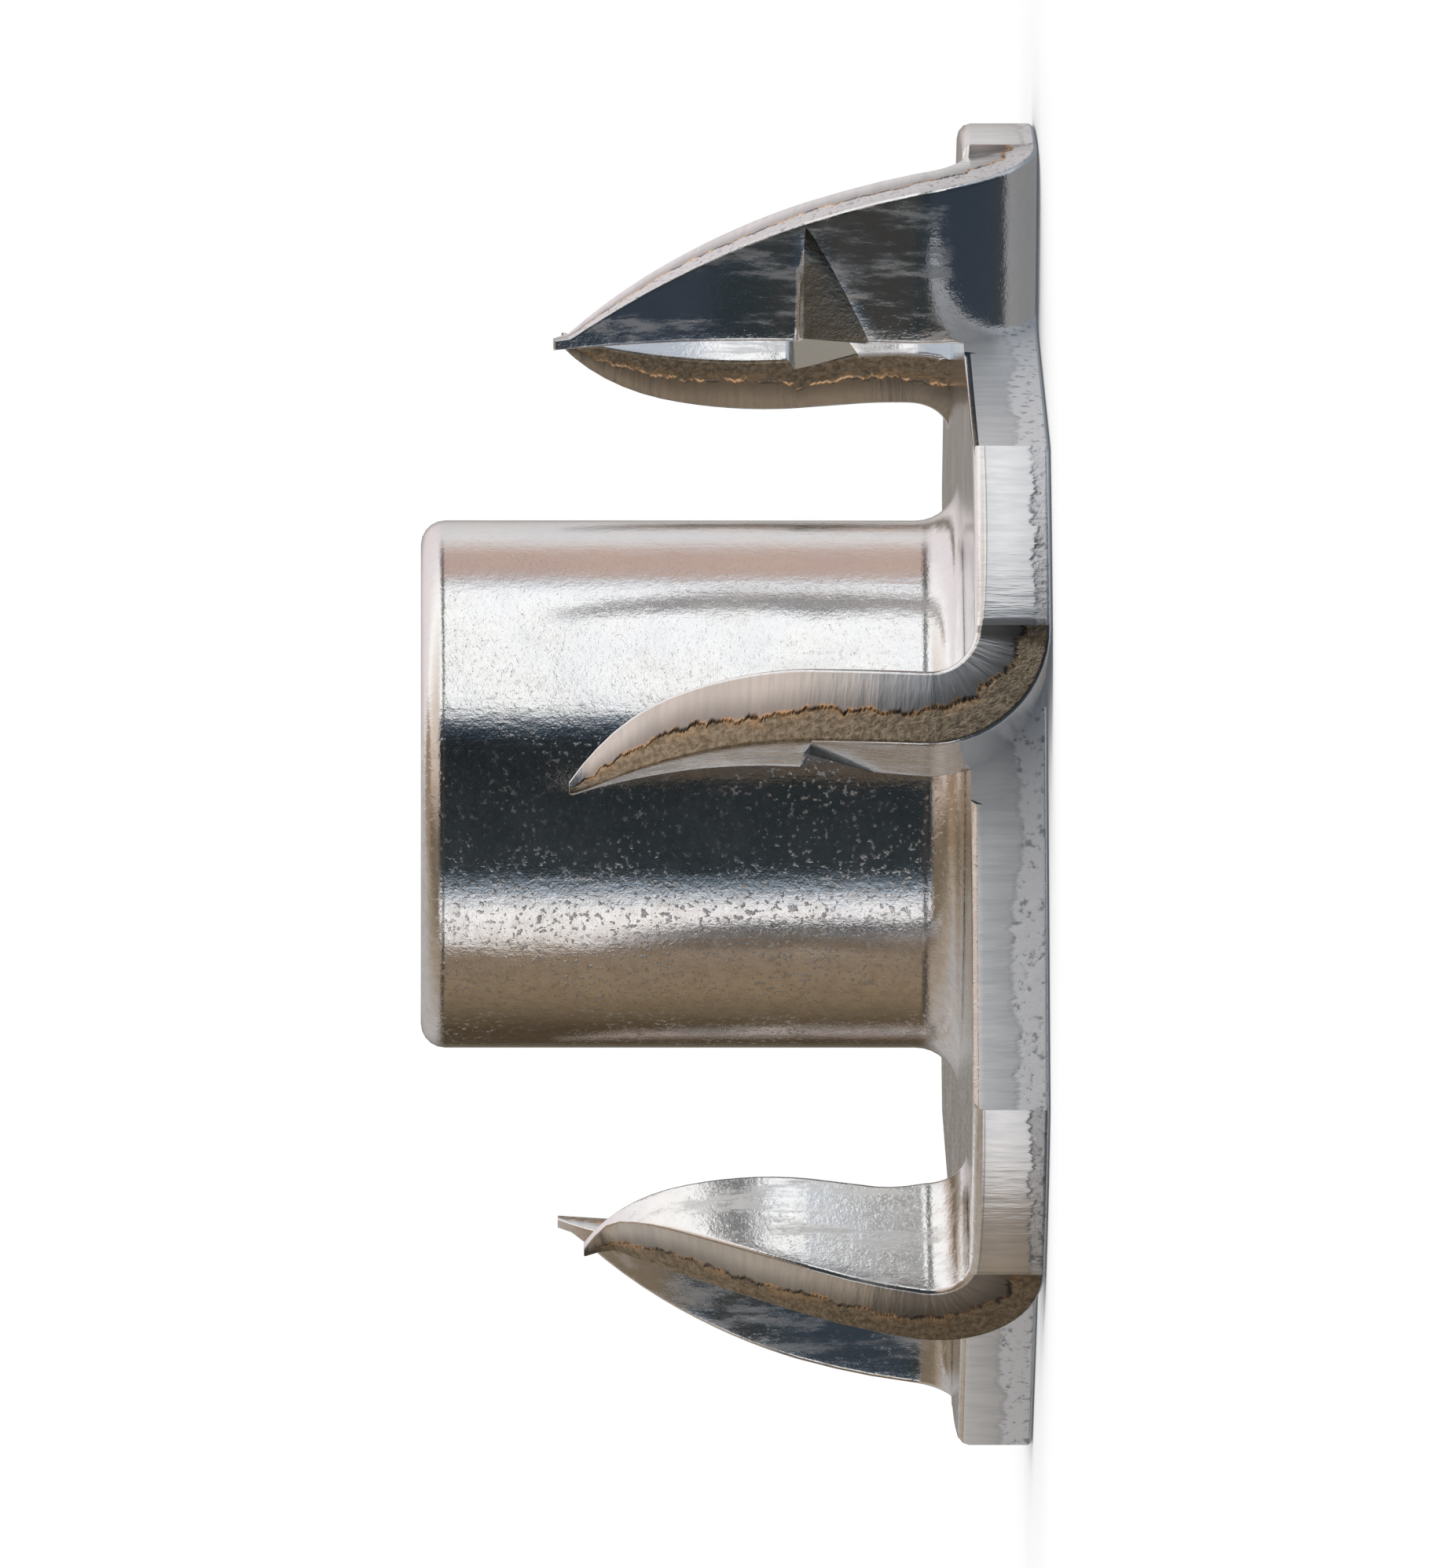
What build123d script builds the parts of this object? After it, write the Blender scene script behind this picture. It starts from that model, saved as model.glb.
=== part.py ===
from build123d import *
import os

# A pronged tee nut for a 1/4-20 screw, pressed from one piece of steel sheet.
# The origin is the centre of the flange's outer face, and +Z runs along the barrel to its open end.
# One prong points along +X. Its flat side faces -Y, and the sheet that carries it lies on its +Y side.

# Flange
sheet_thickness = 1.07
flange_radius = 9.525

# Barrel, drawn out of the flange
barrel_radius = 3.8
barrel_height = 8.8
barrel_end_radius = 0.35
barrel_root_fillet = 0.6
bore_radius = 2.6
bore_chamfer = 0.25
mouth_radius = 0.95

# Prongs, each cut from the rim along a straight slit and bent up where the slit ends
prong_count = 6
slit_distance = 7.2
bend_start = 0.2
bend_inner_radius = 0.6
bend_angle = 94.6
prong_straight = 1.55
prong_curl_radius = 5.6
prong_curl_angle = 20.0
prong_height = 5.8
prong_root_reach = 9.3
prong_edge_radius = 16.0
prong_tip_radius = 0.15
prong_tip_thickness = 0.18
prong_tip_setback = 1.76

# Worked out from the sizes above
bend_outer_radius = bend_inner_radius + sheet_thickness
prong_tip_z = sheet_thickness + prong_height
cut_size = 2 * flange_radius


def corner(section, x, y):
    """The corner of a flat section that lies nearest to a point."""
    return section.vertices().sort_by_distance((x, y, 0))[0]


def turned_body():
    """The flange and the drawn barrel before any slit is cut, as one section turned about the axis."""
    mouth_start = (bore_radius + mouth_radius, 0)
    mouth_end = (bore_radius, mouth_radius)
    outline = Polyline(
        mouth_start,
        (flange_radius, 0),
        (flange_radius, sheet_thickness),
        (barrel_radius, sheet_thickness),
        (barrel_radius, barrel_height),
        (bore_radius + bore_chamfer, barrel_height),
        (bore_radius, barrel_height - bore_chamfer),
        mouth_end,
    )
    mouth = RadiusArc(mouth_start, mouth_end, -mouth_radius)
    section = make_face(outline.edges() + mouth.edges())
    section = fillet(corner(section, barrel_radius, sheet_thickness), barrel_root_fillet)
    section = fillet(corner(section, barrel_radius, barrel_height), barrel_end_radius)
    return revolve(Plane.XZ * section, axis=Axis.Z)


def slit_waste():
    """The part of the rim outside one slit, which leaves the flange to become a prong."""
    waste = Box(
        flange_radius,
        flange_radius,
        3 * sheet_thickness,
        align=(Align.MIN, Align.MAX, Align.CENTER),
    )
    return Pos(slit_distance, bend_start, 0) * waste


def bent_strip():
    """A strip of the sheet seen along its edge: the bend, a short straight and the curl to a thin tip."""
    inner_bend = JernArc((bend_start, sheet_thickness), (-1, 0), bend_inner_radius, -bend_angle)
    inner_side = Line(inner_bend @ 1, inner_bend @ 1 + prong_straight * (inner_bend % 1))
    inner_curl = JernArc(inner_side @ 1, inner_side % 1, prong_curl_radius, prong_curl_angle)
    outer_bend = JernArc((bend_start, 0), (-1, 0), bend_outer_radius, -bend_angle)
    outer_side = Line(outer_bend @ 1, outer_bend @ 1 + prong_straight * (outer_bend % 1))
    inner_tip = (prong_tip_thickness - prong_tip_setback, prong_tip_z)
    outer_tip = (-prong_tip_setback, prong_tip_z)
    inner_roll = TangentArc(inner_curl @ 1, inner_tip, tangent=inner_curl % 1)
    outer_curl = TangentArc(outer_side @ 1, outer_tip, tangent=outer_side % 1)
    tip = Line(inner_tip, outer_tip)
    root = Line((bend_start, 0), (bend_start, sheet_thickness))
    inner_face = [inner_bend, inner_side, inner_curl, inner_roll]
    edges = inner_face + [tip, outer_curl, outer_side, outer_bend, root]
    section = make_face([line.edge() for line in edges])
    return extrude(Plane.YZ * section, cut_size)


def leaf_outline():
    """The prong seen square to its flat side: the slit edge, the old rim edge and a blunt tip."""
    bend_top = sheet_thickness + bend_inner_radius
    tip_point = (slit_distance, prong_tip_z)
    rim_root = (prong_root_reach, bend_top)
    outline = Polyline(
        tip_point,
        (slit_distance, -sheet_thickness),
        (flange_radius + sheet_thickness, -sheet_thickness),
        (flange_radius + sheet_thickness, 0),
        (flange_radius, 0),
        rim_root,
    )
    rim_edge = RadiusArc(rim_root, tip_point, -prong_edge_radius)
    section = make_face(outline.edges() + rim_edge.edges())
    section = fillet(corner(section, slit_distance, prong_tip_z), prong_tip_radius)
    return extrude(Plane.XZ * section, flange_radius, both=True)


def prong():
    """One prong, as the bent strip trimmed to its leaf outline and to the round of the rim."""
    rim = Cylinder(flange_radius, cut_size)
    return bent_strip() & leaf_outline() & rim


def tee_nut():
    """The pressed nut, with its slits cut and its prongs standing round the barrel."""
    nut = turned_body()
    nut -= PolarLocations(0, prong_count) * slit_waste()
    nut += PolarLocations(0, prong_count) * prong()
    return nut


os.makedirs("parts", exist_ok=True)
export_step(tee_nut(), "parts/tee_nut.step")
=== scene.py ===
import bpy
import bmesh
from math import atan2, cos, hypot, pi, radians, sin, sqrt, tan
from mathutils import Matrix, Vector


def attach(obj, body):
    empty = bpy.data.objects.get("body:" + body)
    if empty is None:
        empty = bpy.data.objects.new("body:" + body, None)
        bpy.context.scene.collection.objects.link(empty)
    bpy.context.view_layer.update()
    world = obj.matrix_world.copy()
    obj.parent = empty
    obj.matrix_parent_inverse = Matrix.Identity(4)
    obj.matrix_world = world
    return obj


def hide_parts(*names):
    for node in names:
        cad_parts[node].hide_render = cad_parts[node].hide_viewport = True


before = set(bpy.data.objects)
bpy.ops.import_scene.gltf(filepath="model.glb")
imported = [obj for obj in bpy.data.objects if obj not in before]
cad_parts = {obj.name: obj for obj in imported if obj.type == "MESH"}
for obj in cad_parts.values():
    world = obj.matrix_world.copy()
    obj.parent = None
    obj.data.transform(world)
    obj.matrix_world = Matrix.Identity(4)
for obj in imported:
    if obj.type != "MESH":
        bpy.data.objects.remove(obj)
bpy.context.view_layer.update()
bpy.ops.object.select_all(action="DESELECT")

# The nut's body: a disc of steel sheet with a barrel drawn out of its middle by a punch, so flange and
# barrel are one skin of metal. Its section is drawn line by line and turned through one sixth of the
# circle, with the seams between sixths halfway along the rim's arcs. Sizes are millimetres here.
sheet = 1.07
flange_radius = 9.525
barrel_radius = 3.8
barrel_height = 8.8
barrel_end_radius = 0.35
barrel_root_radius = 0.6
bore_radius = 2.6
bore_chamfer = 0.25
mouth_radius = 0.95
prong_count = 6
sixth_angle = 360 / prong_count
seam_angle = 10
round_steps = 8
end_steps = 5
turning_steps = 60
flat_from = barrel_radius + barrel_root_radius
near = 0.001
facing = 0.9


def select(kind, wanted):
    """Selects those vertices, edges or faces of the piece in hand whose middle passes a test."""
    bpy.ops.mesh.select_mode(type=kind)
    bpy.ops.mesh.select_all(action="DESELECT")
    shape = bmesh.from_edit_mesh(bpy.context.object.data)
    for part in {"VERT": shape.verts, "EDGE": shape.edges, "FACE": shape.faces}[kind]:
        corners = [part] if kind == "VERT" else part.verts
        middle = sum((v.co for v in corners), Vector()) / len(corners)
        part.select_set(bool(wanted(middle, part)))
    shape.select_flush_mode()
    bmesh.update_edit_mesh(bpy.context.object.data)


def start_at(name, x, z):
    """Starts a new piece as one vertex at a place in its section."""
    bpy.ops.object.select_all(action="DESELECT")
    bpy.ops.mesh.primitive_plane_add(size=1)
    bpy.context.object.name = name
    bpy.ops.object.mode_set(mode="EDIT")
    bpy.ops.mesh.select_mode(type="VERT")
    bpy.ops.mesh.select_all(action="SELECT")
    bpy.ops.mesh.merge(type="CENTER")
    bpy.ops.transform.translate(value=(x, 0, z))
    return bpy.context.object


def line_to(x, z):
    """Draws a straight from the selected vertex to a place in the section."""
    shape = bmesh.from_edit_mesh(bpy.context.object.data)
    here = next(v.co.copy() for v in shape.verts if v.select)
    bpy.ops.mesh.extrude_region_move(TRANSFORM_OT_translate={"value": Vector((x, 0, z)) - here})


def quarter_about(x, z, way, steps):
    """Draws a quarter circle from the selected vertex about a centre, one way round or the other."""
    bpy.ops.mesh.spin(steps=steps, angle=radians(90), center=(x, 0, z), axis=(0, way, 0))


blank = start_at("blank", flange_radius, 0)
line_to(flange_radius, sheet)
line_to(flat_from, sheet)
quarter_about(flat_from, sheet + barrel_root_radius, -1, round_steps)
line_to(barrel_radius, barrel_height - barrel_end_radius)
quarter_about(barrel_radius - barrel_end_radius, barrel_height - barrel_end_radius, 1, end_steps)
line_to(bore_radius + bore_chamfer, barrel_height)
line_to(bore_radius, barrel_height - bore_chamfer)
line_to(bore_radius, mouth_radius)
quarter_about(bore_radius + mouth_radius, mouth_radius, 1, round_steps)
line_to(flange_radius, 0)
bpy.ops.mesh.select_all(action="SELECT")
bpy.ops.mesh.remove_doubles(threshold=near)
bpy.ops.mesh.select_all(action="SELECT")
bpy.ops.mesh.spin(steps=turning_steps, angle=radians(sixth_angle), center=(0, 0, 0), axis=(0, 0, 1))
bpy.ops.mesh.select_all(action="SELECT")
bpy.ops.mesh.remove_doubles(threshold=near)
bpy.ops.mesh.normals_make_consistent(inside=False)


def dissolve_flats():
    """Makes the flange's two faces one face each, so that a bevel on their edges stays tidy."""
    for level in (0, sheet):
        select("FACE", lambda c, f: abs(c.z - level) < near and hypot(c.x, c.y) > flat_from)
        bpy.ops.mesh.dissolve_faces()


dissolve_flats()
bpy.ops.object.mode_set(mode="OBJECT")
blank.rotation_euler.z = radians(seam_angle)
bpy.ops.object.transform_apply(rotation=True)

# The prongs: each is part of the rim, cut free along a straight slit and bent up where the slit
# ends, then curled and drawn to a thin tip. No two came out of the press quite alike, so each has
# its own slit, height and leaf. A prong is shaped on the side that faces +X and then turned to place.
fold = 0.2
bend_inner = 0.6
bend_outer = bend_inner + sheet
bend_angle = radians(94.6)
bend_steps = 14
stem = 1.55
curl_steps = 14
curl_radius = 5.6
curl_angle = radians(20)
curl_share = 0.55
outer_curl = 3.6
tip_thickness = 0.18
tip_width = 0.14
columns = (0.14, 0.38, 0.62, 0.86)
crease_length = 0.95
crease_depth = 0.2
crease_step = 0.08
hollow_ring = bend_steps + 3
corner_room = 0.5
long_edge = 4
bend_room = 2
many_corners = 8
# lengths along a cut edge are marked on its map from a number that tells where the edge is
hollow_mark = 5
prong_mark = 10
rim_mark = 30
wall_mark = 50
rim_from = 20
wall_from = 41
# one row for each prong: slit's distance from the axis, height, set back of the tip, reach at the
# bend, bow of the leaf's outer edge, bow of its slit edge
prongs = (
    (7.03, 6.92, 1.76, 9.30, 0.27, 0.00),
    (7.15, 6.75, 1.74, 9.28, 0.33, 0.06),
    (7.20, 6.65, 1.80, 9.32, 0.30, 0.10),
    (7.12, 6.80, 1.72, 9.30, 0.34, 0.04),
    (7.25, 6.48, 1.66, 9.33, 0.40, 0.20),
    (7.20, 6.72, 1.76, 9.30, 0.32, 0.05),
)


def arc_points(start, heading, turn, length, parts):
    """Points on an arc that starts with a heading and turns by an angle over its length."""
    points = []
    for part in parts:
        swept = turn * part
        chord = length * part if abs(swept) < near else 2 * length / turn * sin(swept / 2)
        way = heading + swept / 2
        points.append((start[0] + chord * cos(way), start[1] + chord * sin(way)))
    return points


def arc_to(start, heading, end, parts):
    """Points on the arc that leaves a start with a heading and ends at a given place."""
    across, rise = end[0] - start[0], end[1] - start[1]
    turn = 2 * (atan2(rise, across) - heading)
    chord = hypot(across, rise)
    length = chord if abs(turn) < near else chord * turn / 2 / sin(turn / 2)
    return arc_points(start, heading, turn, length, parts)


def prong_side(inner, height, setback, across):
    """The prong's inner or outer face seen along the fold, with one point for each ring of the mesh."""
    radius = bend_inner if inner else bend_outer
    rise = pi - bend_angle
    steps = [i / bend_steps for i in range(bend_steps + 1)]
    bend = arc_points((fold, sheet if inner else 0), pi, -bend_angle, radius * bend_angle, steps)
    facet = stem - crease_length * (1 - across)
    straight = arc_points(bend[-1], rise, 0, 1, (facet / 3, facet * 2 / 3, facet, stem))
    tip = (-setback + (tip_thickness if inner else 0), height)
    parts = [crease_step / outer_curl] + [i / curl_steps for i in range(1, curl_steps + 1)]
    if not inner:
        hollow = crease_depth * (1 - across)
        straight[3] = (straight[3][0] + hollow, straight[3][1])
        stem_end = arc_points(bend[-1], rise, 0, 1, (stem,))[0]
        return bend + straight + arc_to(stem_end, rise, tip, parts)
    curl_length = curl_radius * curl_angle
    curl_parts = [p / curl_share for p in parts if p <= curl_share]
    curl = arc_points(straight[3], rise, curl_angle, curl_length, curl_parts)
    end = arc_points(straight[3], rise, curl_angle, curl_length, (1,))[0]
    roll_parts = [(p - curl_share) / (1 - curl_share) for p in parts if p > curl_share]
    return bend + straight + curl + arc_to(end, rise + curl_angle, tip, roll_parts)


def leaf_edges(z, slit, height, reach, rim_bow, slit_bow):
    """How far from the axis the prong's slit edge and its old rim edge lie at a height."""
    bend_top = sheet + bend_inner
    part = min(max((z - bend_top) / (height - bend_top), 0), 1)
    bulge = 4 * part * (1 - part)
    rim = reach + (slit - reach) * part + rim_bow * bulge
    if z < bend_top:
        rim += (flange_radius - reach) * (1 - max(z, 0) / bend_top)
    standing = min(max((z - bend_top) / bend_inner, 0), 1)
    inner = slit + slit_bow * (1 - bulge) * standing
    return inner, max(rim, inner + tip_width)


def cut_slit(slit):
    """Cuts the rim outside the slit away, up to the line where the prong is bent."""
    select("FACE", lambda c, f: hypot(c.x, c.y) > flat_from)
    bpy.ops.mesh.bisect(plane_co=(slit, 0, 0), plane_no=(1, 0, 0), threshold=near)
    select("FACE", lambda c, f: c.x > slit - near)
    bpy.ops.mesh.bisect(plane_co=(0, fold, 0), plane_no=(0, 1, 0), threshold=near)
    select("FACE", lambda c, f: c.x > slit and c.y < fold)
    bpy.ops.mesh.delete(type="FACE")
    dissolve_flats()
    select("VERT", lambda c, v: abs(c.x - slit) < near and c.y > fold + near)
    bpy.ops.mesh.dissolve_verts()


def raise_prong(slit, height, setback, reach, rim_bow, slit_bow):
    """Draws a bar of metal out of the fold, ring by ring, and then bends and trims it to the prong."""
    width = sqrt(flange_radius ** 2 - fold ** 2) - slit
    select("VERT", lambda c, v: c.x > slit - near and abs(c.y - fold) < near)
    bpy.ops.mesh.edge_face_add()
    for column in columns:
        select("FACE", lambda c, f: abs(c.y - fold) < near and c.x > slit)
        place = (slit + column * width, 0, 0)
        bpy.ops.mesh.bisect(plane_co=place, plane_no=(1, 0, 0), threshold=near)
    select("FACE", lambda c, f: abs(c.y - fold) < near and c.x > slit)
    rings = bend_steps + 4 + curl_steps + 1
    for ring in range(rings):
        bpy.ops.mesh.extrude_region_move(TRANSFORM_OT_translate={"value": (0, -1, 0)})
    mark_cut_edges(slit, slit + width, travelled(height, setback))
    shape = bmesh.from_edit_mesh(bpy.context.object.data)
    for v in shape.verts:
        ring = fold - v.co.y
        if v.co.x < slit - near or ring < 0.5 or abs(ring - round(ring)) > near:
            continue
        across = (v.co.x - slit) / width
        depth = v.co.z / sheet
        outer = prong_side(False, height, setback, across)[round(ring)]
        inner = prong_side(True, height, setback, across)[round(ring)]
        y = outer[0] + (inner[0] - outer[0]) * depth
        z = outer[1] + (inner[1] - outer[1]) * depth
        slit_edge, rim_edge = leaf_edges(z, slit, height, reach, rim_bow, slit_bow)
        v.co = (slit_edge + across * (rim_edge - slit_edge), y, z)
    bmesh.update_edit_mesh(bpy.context.object.data)


def travelled(height, setback):
    """How far along its middle each ring of the prong lies from the fold."""
    inner = prong_side(True, height, setback, 0.5)
    outer = prong_side(False, height, setback, 0.5)
    middles = [(Vector(i) + Vector(o)) / 2 for i, o in zip(inner, outer)]
    lengths = [0]
    for before, after in zip(middles, middles[1:]):
        lengths.append(lengths[-1] + (after - before).length)
    return lengths


def mark_cut_edges(slit, rim, lengths):
    """Writes on the cut edges of the sheet how far along and how deep in the sheet each corner lies."""
    shape = bmesh.from_edit_mesh(bpy.context.object.data)
    cut_map = shape.loops.layers.uv[0]
    shape.normal_update()
    bar_end = fold + 1 - len(lengths)
    for f in shape.faces:
        middle = f.calc_center_median()
        on_round = abs(middle.xy.length - flange_radius) < 0.01
        is_cut = on_round or abs(f.normal.z) < 0.1 and middle.x > slit - near
        in_bar = middle.y < fold and (middle.x > rim - near or middle.y < bar_end + near)
        in_bar = in_bar or f.normal.x < -facing and abs(middle.x - slit) < near
        in_hollow = f.normal.z < -facing and hollow_ring < fold - middle.y < hollow_ring + 1
        skin_place = (hollow_mark if in_hollow else 0, -1)
        for corner in f.loops:
            place = corner.vert.co
            if in_bar:
                along = prong_mark + lengths[round(fold - place.y)]
            else:
                along = rim_mark + atan2(place.y, place.x) * flange_radius
            corner[cut_map].uv = (along, place.z / sheet) if is_cut else skin_place
    bmesh.update_edit_mesh(bpy.context.object.data)


def on_wall(c, slit):
    """Whether a place lies in the plane of the wall that the slit leaves on the flange."""
    return abs(c.x - slit) < near and c.y < fold + near


def on_edge(c, slit, level):
    """Whether a place lies on the wall's edge at that level of the sheet."""
    return on_wall(c, slit) and abs(c.z - level) < near


def share_points(slit):
    """Gives the wall's long edge the points at which the bend's edge meets it, and returns them."""
    shape = bmesh.from_edit_mesh(bpy.context.object.data)
    level_ends = [v.co.copy() for v in shape.verts if on_edge(v.co, slit, sheet)]
    places = sorted((p for p in level_ends if -bend_room < p.y < fold - near), key=lambda p: -p.y)
    select("EDGE", lambda c, e: on_edge(c, slit, sheet) and e.calc_length() > long_edge)
    bpy.ops.mesh.subdivide(number_cuts=len(places))
    shape = bmesh.from_edit_mesh(bpy.context.object.data)
    added = [v for v in shape.verts if v.select and on_wall(v.co, slit) and len(v.link_edges) == 2]
    added.sort(key=lambda v: -v.co.y)
    for v, place in zip(added, places):
        v.co = place
    bmesh.update_edit_mesh(bpy.context.object.data)
    select("VERT", lambda c, v: on_edge(c, slit, sheet))
    bpy.ops.mesh.remove_doubles(threshold=near)
    return places


def stop_bevels(slit, stops):
    """Puts a point on each long edge of the wall, so that its bevel can end short of the corner."""
    for level, stop in zip((0, sheet), stops):
        select("EDGE", lambda c, e: on_edge(c, slit, level) and e.calc_length() > long_edge)
        bpy.ops.mesh.subdivide(number_cuts=1)
        shape = bmesh.from_edit_mesh(bpy.context.object.data)
        added = next(v for v in shape.verts if v.select and len(v.link_edges) == 2)
        added.co.y = stop
        bmesh.update_edit_mesh(bpy.context.object.data)


def heal_slit_end(slit):
    """Where the bend passes the flange's cut edge, the two are one metal: the faces between them go."""
    select("FACE", lambda c, f: on_wall(c, slit) and abs(f.normal.x) > facing)
    bpy.ops.mesh.bisect(plane_co=(0, 0, sheet), plane_no=(0, 0, 1), threshold=near)
    select("FACE", lambda c, f: on_wall(c, slit) and abs(f.normal.x) > facing and c.z < sheet)
    bpy.ops.mesh.delete(type="ONLY_FACE")
    select("EDGE", lambda c, e: not e.link_faces)
    bpy.ops.mesh.delete(type="EDGE")
    places = share_points(slit)
    select("EDGE", lambda c, e: e.is_boundary and on_wall(c, slit) and c.z < sheet + near)
    bpy.ops.mesh.edge_face_add()
    stop_bevels(slit, (-corner_room, places[-1].y - corner_room))
    select("FACE", lambda c, f: on_wall(c, slit) and f.normal.x > facing and len(f.verts) > many_corners)
    shape = bmesh.from_edit_mesh(bpy.context.object.data)
    wall = next(f for f in shape.faces if f.select)
    for corner in wall.loops:
        place = corner.vert.co
        corner[shape.loops.layers.uv[0]].uv = (wall_mark - place.y, place.z / sheet)
    bmesh.update_edit_mesh(bpy.context.object.data)


sixths = []
for place, (slit, height, setback, reach, rim_bow, slit_bow) in enumerate(prongs):
    bpy.ops.object.select_all(action="DESELECT")
    blank.select_set(True)
    bpy.context.view_layer.objects.active = blank
    bpy.ops.object.duplicate()
    sixth = bpy.context.object
    bpy.ops.object.mode_set(mode="EDIT")
    cut_slit(slit)
    raise_prong(slit, height, setback, reach, rim_bow, slit_bow)
    heal_slit_end(slit)
    bpy.ops.object.mode_set(mode="OBJECT")
    sixth.rotation_euler.z = radians(sixth_angle * place)
    bpy.ops.object.transform_apply(rotation=True)
    sixths.append(sixth)
bpy.data.objects.remove(blank)
for sixth in sixths:
    sixth.select_set(True)
bpy.context.view_layer.objects.active = sixths[0]
bpy.ops.object.join()
nut = bpy.context.object
nut.name = "pressed_nut"
bpy.ops.object.mode_set(mode="EDIT")
bpy.ops.mesh.select_all(action="SELECT")
bpy.ops.mesh.remove_doubles(threshold=near)
bpy.ops.mesh.normals_make_consistent(inside=False)
bpy.ops.object.mode_set(mode="OBJECT")

# The thread: cut by a tap that runs through the barrel from end to end. The tap's single tooth is
# drawn as a four-sided outline, wound into a screw by the pitch and taken away from the bore.
pitch = 1.27
thread_radius = 3.175
tap_core_radius = 2.4
tap_tip = pitch / 8
tap_turns = 9
tap_start = -1.0
tap_steps = 48
flank_angle = radians(30)


def flank(radius):
    """Half the width of the tap's tooth at a radius, its flanks standing at sixty degrees."""
    return tap_tip / 2 + (thread_radius - radius) * tan(flank_angle)


tap = start_at("tap", tap_core_radius, tap_start - flank(tap_core_radius))
line_to(thread_radius, tap_start - flank(thread_radius))
line_to(thread_radius, tap_start + flank(thread_radius))
line_to(tap_core_radius, tap_start + flank(tap_core_radius))
line_to(tap_core_radius, tap_start - flank(tap_core_radius))
bpy.ops.mesh.select_all(action="SELECT")
bpy.ops.mesh.remove_doubles(threshold=near)
bpy.ops.object.mode_set(mode="OBJECT")
winding = tap.modifiers.new("winding", "SCREW")
winding.axis = "Z"
winding.angle = radians(360)
winding.screw_offset = pitch
winding.iterations = tap_turns
winding.steps = tap_steps
winding.render_steps = tap_steps
bpy.ops.object.modifier_apply(modifier="winding")
bpy.ops.object.mode_set(mode="EDIT")
select("EDGE", lambda c, e: e.is_boundary and c.z < tap_start + pitch)
bpy.ops.mesh.edge_face_add()
select("EDGE", lambda c, e: e.is_boundary)
bpy.ops.mesh.edge_face_add()
bpy.ops.mesh.select_all(action="SELECT")
bpy.ops.mesh.normals_make_consistent(inside=False)
bpy.ops.object.mode_set(mode="OBJECT")
bpy.ops.object.select_all(action="DESELECT")
nut.select_set(True)
bpy.context.view_layer.objects.active = nut
tapping = nut.modifiers.new("tapping", "BOOLEAN")
tapping.operation = "DIFFERENCE"
tapping.solver = "EXACT"
tapping.object = tap
bpy.ops.object.modifier_apply(modifier="tapping")
bpy.data.objects.remove(tap)

# The edges: on the barrel's side the rim is drawn down over the die, and every other edge of the
# cut sheet is broken only a little. A bevel is kept well within the faces that it runs between, and
# ends short of the corner where a slit stops.
die_roll = 0.2
edge_break = 0.07
sharp_angle = radians(50)
bevel_share = 0.4
bevel_segments = 3
smooth_angle = radians(35)
millimetre = 0.001
bpy.ops.object.mode_set(mode="EDIT")
shape = bmesh.from_edit_mesh(nut.data)
weights = shape.edges.layers.float.new("bevel_weight_edge")
sharp = set()
for e in shape.edges:
    middle = (e.verts[0].co + e.verts[1].co) / 2
    if hypot(middle.x, middle.y) > barrel_radius + near and e.calc_face_angle_signed() > sharp_angle:
        sharp.add(e)
for e in sharp:
    beside = [other for v in e.verts for other in v.link_edges if other not in sharp]
    room = min(other.calc_length() for other in beside)
    on_rim = all(abs(v.co.z - sheet) < near and v.co.xy.length > flange_radius - 0.01 for v in e.verts)
    in_corner = any(other.calc_face_angle_signed() < -sharp_angle for other in beside)
    width = 0 if in_corner else die_roll if on_rim else edge_break
    e[weights] = min(width, bevel_share * room) / die_roll
bmesh.update_edit_mesh(nut.data)
bpy.ops.object.mode_set(mode="OBJECT")
rounding = nut.modifiers.new("rounding", "BEVEL")
rounding.limit_method = "WEIGHT"
rounding.width = die_roll
rounding.segments = bevel_segments
rounding.use_clamp_overlap = False
bpy.ops.object.modifier_apply(modifier="rounding")
bpy.ops.object.shade_smooth_by_angle(angle=smooth_angle)
evening = nut.modifiers.new("evening", "WEIGHTED_NORMAL")
evening.keep_sharp = True
bpy.ops.object.modifier_apply(modifier="evening")
nut.scale = (millimetre, millimetre, millimetre)
bpy.ops.object.transform_apply(scale=True)
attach(nut, "root")
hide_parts("tee_nut")

# The plate: bright zinc, laid over the whole nut after pressing. It is nearly a mirror on the drawn
# and rolled skin, with a fine grain, specks and lines along the draw. The cut edges under it are
# burnished where the punch went through and torn where the sheet gave way, with lines across.
cool_zinc = (0.96, 0.97, 0.99, 1)
warm_zinc = (0.99, 0.99, 0.98, 1)
stain = (0.55, 0.48, 0.42, 1)
painted_hollow_shade = (0.16, 0.14, 0.10, 1)
burnished_line = (0.85, 0.87, 0.89, 1)
burnished_bright = (0.97, 0.98, 0.99, 1)
burnished_shade = (0.10, 0.09, 0.08, 1)
torn_dark = (0.26, 0.22, 0.16, 1)
torn_light = (0.50, 0.43, 0.33, 1)
paler_and_lit_torn_dark = (0.45, 0.46, 0.48, 1)
paler_and_lit_torn_light = (0.92, 0.93, 0.95, 1)
torn_warm_reflection = (0.85, 0.58, 0.34, 1)
lip_shade = (0.14, 0.11, 0.08, 1)
lip_glint = (0.95, 0.62, 0.34, 1)
rim_lip = (0.40, 0.41, 0.43, 1)
zinc = bpy.data.materials.new("zinc_plate")
zinc.use_nodes = True
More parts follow.
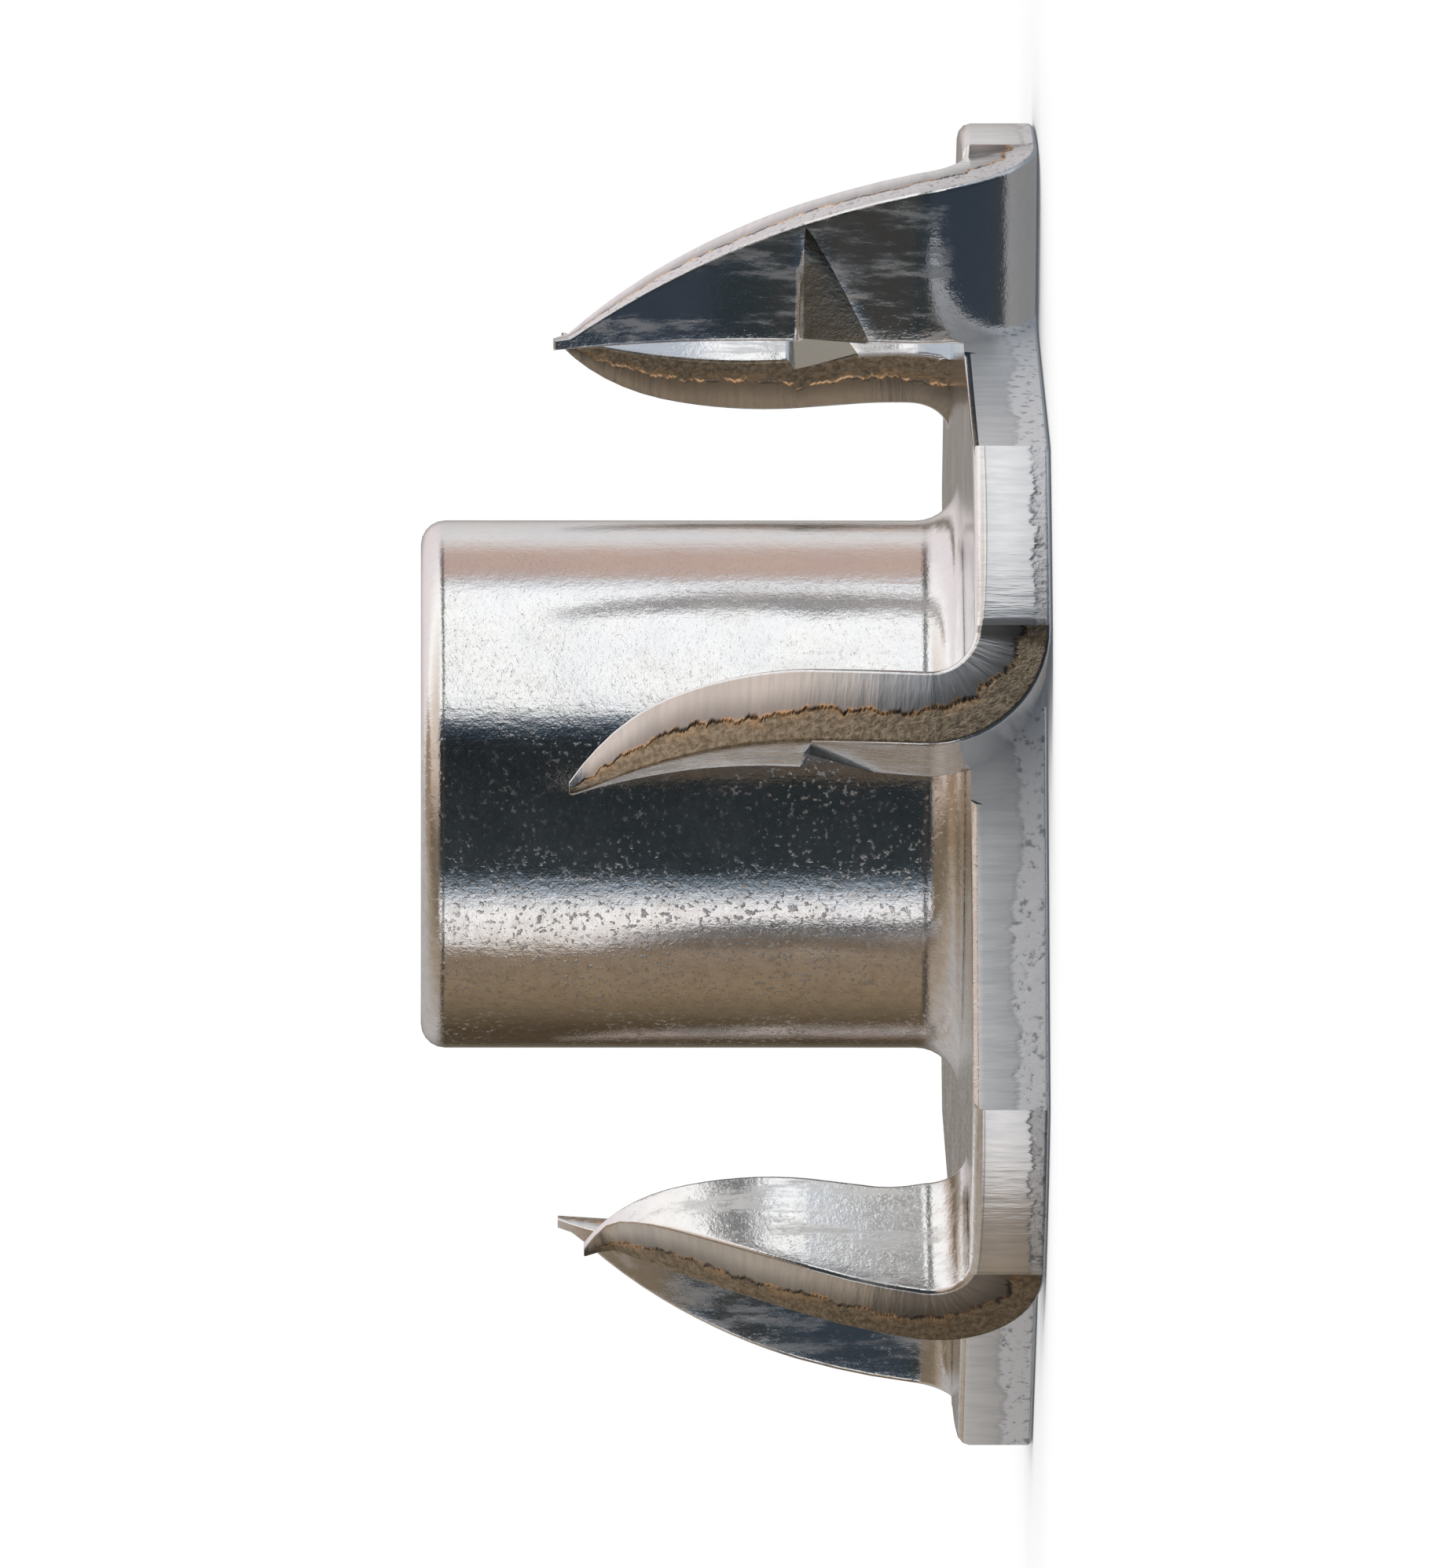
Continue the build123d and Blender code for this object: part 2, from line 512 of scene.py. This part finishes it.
nodes = zinc.node_tree.nodes
links = zinc.node_tree.links
surface = nodes["Principled BSDF"]


def node(kind, **settings):
    """Adds a node to the plate's material and sets its properties."""
    added = nodes.new(kind)
    for name, value in settings.items():
        setattr(added, name, value)
    return added


def feed(target, source):
    """Sets an input to a number, or joins it to another node's output."""
    if isinstance(source, bpy.types.NodeSocket):
        links.new(source, target)
    else:
        target.default_value = source


def maths(operation, *values, clamp=False):
    """A sum, product or other operation on numbers or outputs."""
    step = node("ShaderNodeMath", operation=operation, use_clamp=clamp)
    for target, value in zip(step.inputs, values):
        feed(target, value)
    return step.outputs[0]


def plus(first, second):
    """The sum of two numbers or outputs."""
    return maths("ADD", first, second)


def minus(first, second):
    """The first less the second."""
    return maths("SUBTRACT", first, second)


def times(first, second):
    """The product of two numbers or outputs."""
    return maths("MULTIPLY", first, second)


def less(share):
    """What a share leaves of one."""
    return maths("SUBTRACT", 1.0, share)


def spread(value, low, high, to_low=0.0, to_high=1.0):
    """Carries a range of values over to another, smoothly and without passing its ends."""
    step = node("ShaderNodeMapRange", interpolation_type="SMOOTHSTEP")
    for target, number in zip(step.inputs, (value, low, high, to_low, to_high)):
        feed(target, number)
    return step.outputs[0]


def mix(share, first, second):
    """A colour between two others."""
    step = node("ShaderNodeMix", data_type="RGBA")
    feed(step.inputs["Factor"], share)
    feed(step.inputs["A"], first)
    feed(step.inputs["B"], second)
    return step.outputs["Result"]


def noise(place, scale, detail=3.0, roughness=0.55):
    """Clouds of the given size and depth."""
    cloud = node("ShaderNodeTexNoise")
    feed(cloud.inputs["Vector"], place)
    for name, value in (("Scale", scale), ("Detail", detail), ("Roughness", roughness)):
        feed(cloud.inputs[name], value)
    return cloud.outputs["Fac"]


def stretched(place, scale):
    """The same place with each direction scaled by its own amount."""
    mapping = node("ShaderNodeMapping")
    feed(mapping.inputs["Vector"], place)
    mapping.inputs["Scale"].default_value = scale
    return mapping.outputs["Vector"]


def apart(vector):
    """The three numbers of a vector."""
    step = node("ShaderNodeSeparateXYZ")
    feed(step.inputs[0], vector)
    return step.outputs[0], step.outputs[1], step.outputs[2]


where = stretched(node("ShaderNodeTexCoord").outputs["Object"], (1000, 1000, 1000))
place_x, place_y, place_z = apart(where)
along, depth = apart(node("ShaderNodeUVMap", uv_map="UVMap").outputs["UV"])[:2]
is_cut = spread(depth, -0.6, -0.2)
in_hollow = spread(along, hollow_mark - 2, hollow_mark - 1)
on_rim = spread(along, rim_from, rim_from + 1)
on_notch = spread(along, wall_from, wall_from + 1)
far_out = maths("SQRT", plus(times(place_x, place_x), times(place_y, place_y)))
on_prong = times(spread(far_out, 5.6, 6.2), spread(place_z, 1.1, 1.4))

# the skin: fine grain, specks, long lines left by drawing, scuffs along the prongs, and painted shade in
# the hollow by each prong's crease
grain = noise(where, 8.5, 4.0, 0.7)
fine_grain = noise(where, 26.0, 2.0, 0.6)
draw_lines = noise(stretched(where, (7, 7, 0.45)), 1.0, 4.0, 0.65)
waves = noise(where, 0.8, 2.0, 0.5)
# specks and stains thin out towards +X and on the prongs
speck_and_stain_share = times(spread(place_x, 1.4, 2.0, 1.0, 0.22), spread(on_prong, 0.0, 1.0, 1.0, 0.35))
specks = spread(noise(where, 13.0, 2.0, 0.5), 0.57, 0.70)
specks = times(specks, spread(noise(where, 0.9, 3.0), 0.40, 0.60, 0.4, 1.0))
specks = times(specks, speck_and_stain_share)
scuffs = spread(noise(stretched(where, (3.2, 3.2, 0.55)), 1.0, 5.0, 0.7), 0.47, 0.68)
scuffs = times(scuffs, spread(on_prong, 0.0, 1.0, 0.12, 1.0))
scuffs = times(scuffs, less(in_hollow))
skin_height = plus(times(grain, 0.0042), times(fine_grain, 0.0010))
skin_height = plus(skin_height, times(specks, 0.0025))
skin_height = plus(skin_height, times(draw_lines, 0.002))
skin_height = plus(skin_height, times(waves, 0.012))
skin_rough = spread(noise(where, 1.3, 3.0), 0.3, 0.7, 0.06, 0.12)
skin_rough = plus(skin_rough, times(plus(scuffs, specks), 0.32))
skin_tint = mix(spread(noise(where, 0.9, 4.0, 0.6), 0.35, 0.65), cool_zinc, warm_zinc)
mottle = spread(noise(where, 5.5, 4.0, 0.75), 0.40, 0.62, 0.0, 0.26)
skin_tint = mix(times(mottle, speck_and_stain_share), skin_tint, stain)
# the hollow by the crease on each prong's outer face is darkened with painted shade
skin_tint = mix(times(in_hollow, 0.85), skin_tint, painted_hollow_shade)

# the cut edges: lines across the sheet, a ragged step where the cut turns into a tear, painted shade and
# glints along that step, and a warm painted reflection under it
rows = node("ShaderNodeCombineXYZ")
feed(rows.inputs[0], times(along, 8.0))
feed(rows.inputs[1], times(depth, 0.9))
lines = noise(rows.outputs[0], 1.0, 3.0, 0.6)
swing = times(minus(noise(rows.outputs[0], 0.35, 4.0, 0.75), 0.5), 0.5)
torn_share = spread(noise(rows.outputs[0], 0.04, 1.0), 0.35, 0.65, 0.36, 0.52)
torn_share = minus(torn_share, times(minus(on_rim, on_notch), 0.22))
over_tear = minus(plus(torn_share, swing), depth)
torn = spread(over_tear, -0.02, 0.04)
tear = noise(where, spread(on_rim, 0.0, 1.0, 12.0, 7.0), 4.0, 0.65)
cut_height = plus(times(lines, 0.007), times(times(tear, torn), 0.016))
cut_height = minus(cut_height, times(torn, spread(on_rim, 0.0, 1.0, 0.03, 0.012)))
cut_rough = plus(spread(torn, 0.0, 1.0, 0.21, 0.36), times(on_notch, 0.22))

burnished = mix(spread(lines, 0.35, 0.65), burnished_line, burnished_bright)
shading = spread(minus(depth, torn_share), 0.0, 0.45, 0.55, 0.0)
shading = times(shading, spread(on_rim, 0.0, 1.0, 1.0, 0.3))
burnished = mix(shading, burnished, burnished_shade)
# the tear is a paler grey on the rim, and on the prong that faces +X it is whitened with painted light,
# as lit from above
paler_rim_and_lit_prong = maths("MAXIMUM", on_rim, spread(place_x, 5.4, 6.4))
ragged = mix(spread(tear, 0.34, 0.66), torn_dark, torn_light)
ragged = mix(paler_rim_and_lit_prong, ragged, mix(spread(tear, 0.34, 0.46), paler_and_lit_torn_dark, paler_and_lit_torn_light))
# a warm painted reflection lies on the torn band just under the step, except on the rim and on the prong
# that faces +X
warm_reflection_share = times(spread(over_tear, 0.02, 0.2, 0.5, 0.0), spread(noise(where, 1.6, 2.0), 0.42, 0.6))
ragged = mix(times(warm_reflection_share, less(paler_rim_and_lit_prong)), ragged, torn_warm_reflection)
# a line runs along the step where the cut turns into a tear: painted shade broken by a warm painted
# glint, and plain grey on the rim
lip = less(spread(maths("ABSOLUTE", over_tear), 0.015, 0.06))
lip_shade_and_glint = mix(spread(noise(where, 4.0, 2.0), 0.42, 0.58), lip_shade, lip_glint)
lip_shade_and_glint = mix(on_rim, lip_shade_and_glint, rim_lip)
lip_share = times(lip, spread(on_rim, 0.0, 1.0, 0.8, 0.2))
cut_tint = mix(lip_share, mix(torn, burnished, ragged), lip_shade_and_glint)

bump = node("ShaderNodeBump")
bump.inputs["Distance"].default_value = 0.001
feed(bump.inputs["Height"], mix(is_cut, skin_height, cut_height))
feed(surface.inputs["Normal"], bump.outputs["Normal"])
dull = times(is_cut, plus(times(on_rim, 0.06), times(on_notch, 0.20)))
feed(surface.inputs["Metallic"], less(dull))
feed(surface.inputs["Base Color"], mix(is_cut, skin_tint, cut_tint))
feed(surface.inputs["Roughness"], maths("ADD", mix(is_cut, skin_rough, cut_rough), 0.0, clamp=True))
nut.data.materials.clear()
nut.data.materials.append(zinc)

# The view: the nut stands on its flange, and the camera lies beside it, turned so that the barrel
# points left in the picture, as far off as the photograph was taken from.
towards_camera = Vector((0.3272, -0.9449, 0))
picture_up = Vector((0.9449, 0.3272, 0))
camera_distance = 0.2839
camera_drop = 0.0068
camera_height = 0.00877
nut_middle = Vector((0, 0, 0.0044))
view_height = 0.0226
sensor_height = 24
camera_place = towards_camera * camera_distance - picture_up * camera_drop + Vector((0, 0, camera_height))
back = (camera_place - nut_middle).normalized()
right = picture_up.cross(back).normalized()
up = back.cross(right)
bpy.ops.object.camera_add()
camera = bpy.context.object
camera.matrix_world = Matrix.Translation(camera_place) @ Matrix((right, up, back)).transposed().to_4x4()
camera.data.sensor_fit = "AUTO"
camera.data.sensor_width = sensor_height
camera.data.lens = sensor_height * camera_distance / view_height
camera.data.clip_start = 0.01
bpy.context.scene.camera = camera
bpy.context.scene.view_settings.view_transform = "Standard"

# The floor: a plain pale surface under the nut, large enough to have no edge near it. Away from the
# nut it fades into the white behind, so that no line shows where it ends, and it keeps the shadow.
floor_size = 4
floor_level = -0.00002
floor_colour = (0.9, 0.9, 0.9, 1)
fade_start = 0.04
fade_end = 0.2
bpy.ops.object.select_all(action="DESELECT")
bpy.ops.mesh.primitive_plane_add(size=floor_size, location=(0, 0, floor_level))
floor = bpy.context.object
floor.name = "floor"
floor_paint = bpy.data.materials.new("floor_paint")
floor_paint.use_nodes = True
nodes = floor_paint.node_tree.nodes
links = floor_paint.node_tree.links
paint = nodes["Principled BSDF"]
paint.inputs["Base Color"].default_value = floor_colour
paint.inputs["Roughness"].default_value = 0.8
paint.inputs["Specular IOR Level"].default_value = 0.0
outward = node("ShaderNodeVectorMath", operation="LENGTH")
feed(outward.inputs[0], node("ShaderNodeTexCoord").outputs["Object"])
fading = node("ShaderNodeMixShader")
feed(fading.inputs[0], spread(outward.outputs["Value"], fade_start, fade_end))
links.new(paint.outputs[0], fading.inputs[1])
links.new(node("ShaderNodeEmission").outputs[0], fading.inputs[2])
links.new(fading.outputs[0], nodes["Material Output"].inputs["Surface"])
floor.data.materials.append(floor_paint)
floor.visible_glossy = False

# The studio: the camera sees plain white behind the nut. What the plate mirrors is a ring of screens
# round the barrel's axis: dark about the camera, with a white screen above it and another below.
# Each screen stands at an angle round the axis, counted from the camera towards the picture's top.
level_screens = (
    (-180, (0.16, 0.14, 0.11)),
    (-171, (0.16, 0.14, 0.11)),
    (-160, (0.07, 0.050, 0.030)),
    (-135, (0.07, 0.050, 0.030)),
    (-102, (0.24, 0.175, 0.11)),
    (-79, (0.24, 0.18, 0.13)),
    (-75, (0.80, 0.75, 0.72)),
    (-57, (1.0, 0.97, 0.96)),
    (-49, (0.27, 0.33, 0.40)),
    (-42, (0.024, 0.032, 0.036)),
    (18, (0.010, 0.014, 0.016)),
    (26, (0.05, 0.08, 0.12)),
    (32, (1.0, 1.0, 1.0)),
    (93, (1.0, 1.0, 1.0)),
    (98, (0.50, 0.53, 0.58)),
    (102, (0.50, 0.37, 0.32)),
    (120, (0.50, 0.37, 0.32)),
    (134, (0.70, 0.68, 0.68)),
    (160, (0.58, 0.55, 0.54)),
    (180, (0.16, 0.14, 0.11)),
)
upper_screens = (
    (-180, (0.44, 0.42, 0.41)),
    (-140, (0.42, 0.39, 0.37)),
    (-110, (0.36, 0.30, 0.24)),
    (-90, (0.32, 0.26, 0.20)),
    (-60, (0.18, 0.14, 0.095)),
    (-30, (0.16, 0.12, 0.085)),
    (0, (0.52, 0.41, 0.34)),
    (40, (0.66, 0.56, 0.50)),
    (90, (0.98, 0.96, 0.94)),
    (120, (0.80, 0.74, 0.74)),
    (165, (0.74, 0.66, 0.66)),
    (180, (0.44, 0.42, 0.41)),
)
lower_screens = (
    (-180, (0.22, 0.22, 0.22)),
    (-132, (0.26, 0.26, 0.27)),
    (-112, (0.05, 0.050, 0.052)),
    (-62, (0.035, 0.045, 0.060)),
    (40, (0.020, 0.028, 0.040)),
    (90, (0.50, 0.54, 0.60)),
    (125, (0.24, 0.27, 0.31)),
    (165, (0.22, 0.25, 0.28)),
    (180, (0.22, 0.22, 0.22)),
)
gap_colour = (0.045, 0.040, 0.036, 1)
overhead_colour = (0.30, 0.21, 0.14, 1)
backdrop_colour = (1, 1, 1, 1)
screen_tilt = 0.2
world = bpy.data.worlds.new("studio")
bpy.context.scene.world = world
world.use_nodes = True
nodes = world.node_tree.nodes
links = world.node_tree.links
direction = node("ShaderNodeTexCoord").outputs["Generated"]


def share_along(axis):
    """How far the direction looked in points along an axis."""
    step = node("ShaderNodeVectorMath", operation="DOT_PRODUCT")
    feed(step.inputs[0], direction)
    feed(step.inputs[1], axis)
    return step.outputs["Value"]


def ring_of(screens):
    """The colours of the screens that stand round the axis."""
    ramp = node("ShaderNodeValToRGB")
    feed(ramp.inputs[0], round_axis)
    stops = ramp.color_ramp.elements
    stops.remove(stops[-1])
    stops[0].position = 0
    stops[0].color = (*screens[0][1], 1)
    for angle, colour in screens[1:]:
        stop = stops.new(angle / 360 + 0.5)
        stop.color = (*colour, 1)
    return ramp.outputs["Color"]


nearness = share_along(towards_camera)
turned = maths("ARCTAN2", share_along(picture_up), nearness)
round_axis = plus(maths("DIVIDE", turned, 2 * pi), 0.5)
rising = share_along((0, 0, 1))
lift = minus(rising, times(nearness, screen_tilt))
gap = times(spread(rising, 0.03, 0.10), spread(rising, 0.20, 0.28, 1.0, 0.0))
gap = times(gap, spread(maths("ABSOLUTE", minus(round_axis, 0.5)), 0.33, 0.39, 0.85, 0.0))
mirrored = mix(gap, ring_of(level_screens), gap_colour)
mirrored = mix(spread(lift, 0.18, 0.42), mirrored, ring_of(upper_screens))
mirrored = mix(spread(rising, 0.93, 0.98), mirrored, overhead_colour)
mirrored = mix(spread(times(rising, -1.0), 0.08, 0.16), mirrored, ring_of(lower_screens))
rays = node("ShaderNodeLightPath")
background = nodes["Background"]
feed(background.inputs["Color"], mix(rays.outputs["Is Glossy Ray"], backdrop_colour, mirrored))
background.inputs["Strength"].default_value = 1

# The lamp: one broad soft lamp over the nut. It lights the floor to white and leaves its shadow.
lamp_place = Vector((0.1, -0.2, 0.5))
bpy.ops.object.light_add(type="AREA")
lamp = bpy.context.object
lamp.name = "soft_lamp"
lamp.data.shape = "DISK"
lamp.data.size = 0.4
lamp.data.energy = 0.6
lamp.visible_glossy = False
lamp_turn = lamp_place.to_track_quat("Z", "Y").to_matrix().to_4x4()
lamp.matrix_world = Matrix.Translation(lamp_place) @ lamp_turn
